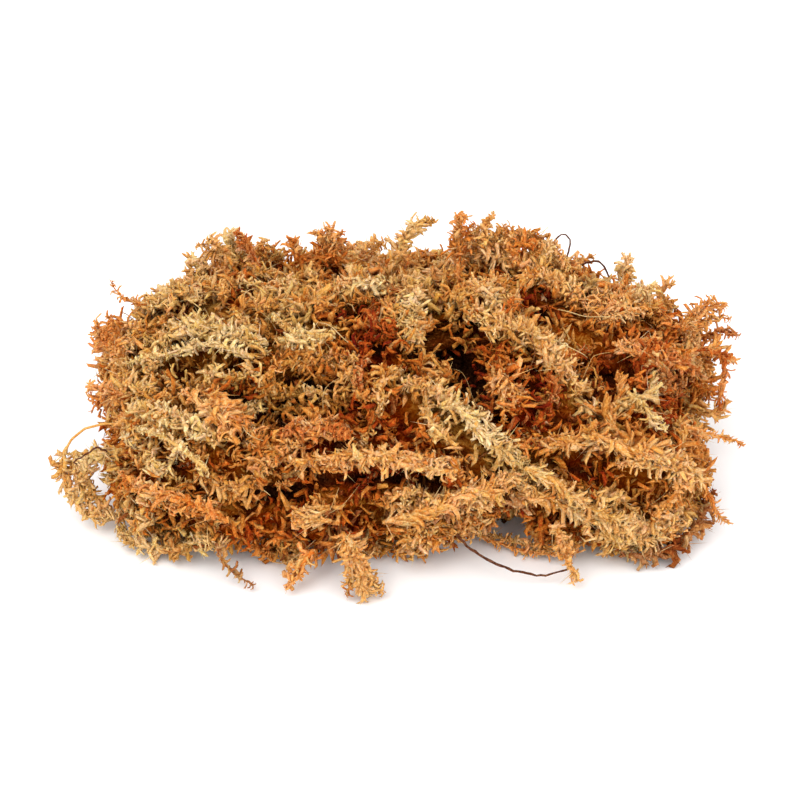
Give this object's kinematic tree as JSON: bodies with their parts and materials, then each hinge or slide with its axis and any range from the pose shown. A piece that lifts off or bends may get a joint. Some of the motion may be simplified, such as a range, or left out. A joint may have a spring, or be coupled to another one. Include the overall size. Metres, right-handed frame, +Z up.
{
  "type": "dried sphagnum moss clump",
  "caption": "Loose clump of dried sphagnum moss: a low matted tangle of short leafy shoots, with longer shoots, sprigs and bare stems lying on it and standing out of it.",
  "frame": {"origin": "on the surface that the clump lies on, under the middle of its length; depth is counted from the middle of the tangle's front half, so the clump reaches a little further back than forward", "axes": "+X along the clump's length, to the right as seen from its front; -Y is the front, the side that the picture shows; +Z up"},
  "size_m": [0.2357, 0.1591, 0.0898],
  "materials": {
    "golden_moss": "dry, matt, leafy, golden tan",
    "pale_moss": "dry, matt, leafy, straw coloured",
    "rust_moss": "dry, matt, leafy, rust orange",
    "bare_stem": "smooth, dark brown, dull"
  },
  "bodies": {
    "root": {"branch_left_gap": "golden_moss", "column_pale": "pale_moss", "curl_left_pale": "pale_moss", "knobbly_pale": "pale_moss", "leaf_right_low": "golden_moss", "loop_left": "golden_moss", "loop_pale": "pale_moss", "moss_tangle": "golden_moss", "rootlet_curl": "bare_stem", "rootlet_left": "bare_stem", "rootlet_ridge": "bare_stem", "rope_front_fall": "golden_moss", "rope_front_middle": "golden_moss", "rope_front_rise": "golden_moss", "rope_left_middle": "golden_moss", "rope_left_rim": "golden_moss", "rope_right_rim": "golden_moss", "rope_upper_left": "golden_moss", "shoot_back_1": "golden_moss", "shoot_back_2": "golden_moss", "shoot_back_3": "golden_moss", "shoot_back_4": "golden_moss", "shoot_back_5": "golden_moss", "shoot_back_6": "golden_moss", "shoot_back_7": "golden_moss", "shoot_bottom_dangling": "golden_moss", "shoot_crest_left": "golden_moss", "shoot_crest_right": "golden_moss", "shoot_left_brown": "rust_moss", "shoot_middle_back": "golden_moss", "shoot_right_hanging": "golden_moss", "shoot_right_knotted": "golden_moss", "shoot_right_long": "golden_moss", "shoot_right_lower": "golden_moss", "shoot_right_shoulder": "golden_moss", "shoot_right_tip": "golden_moss", "shoot_top_arch": "golden_moss", "shoot_top_bridge": "golden_moss", "sprig_crest": "golden_moss", "sprig_crest_low": "golden_moss", "sprig_left_high": "golden_moss", "sprig_left_low": "golden_moss", "sprig_left_middle": "golden_moss", "sprig_pale_right": "pale_moss", "sprig_ridge_pale": "pale_moss", "sprig_right_corner": "golden_moss", "sprig_top_fork": "golden_moss", "sprig_top_leaf": "golden_moss", "sprig_top_left": "golden_moss", "sprig_top_left_red": "rust_moss", "sprig_top_middle": "golden_moss", "sprig_top_tall": "golden_moss", "sprigs_red": "rust_moss", "stem_bottom": "bare_stem", "tuft_bottom_left": "golden_moss", "tuft_bottom_middle": "golden_moss", "tuft_bottom_right": "golden_moss"}
  },
  "joints": []
}
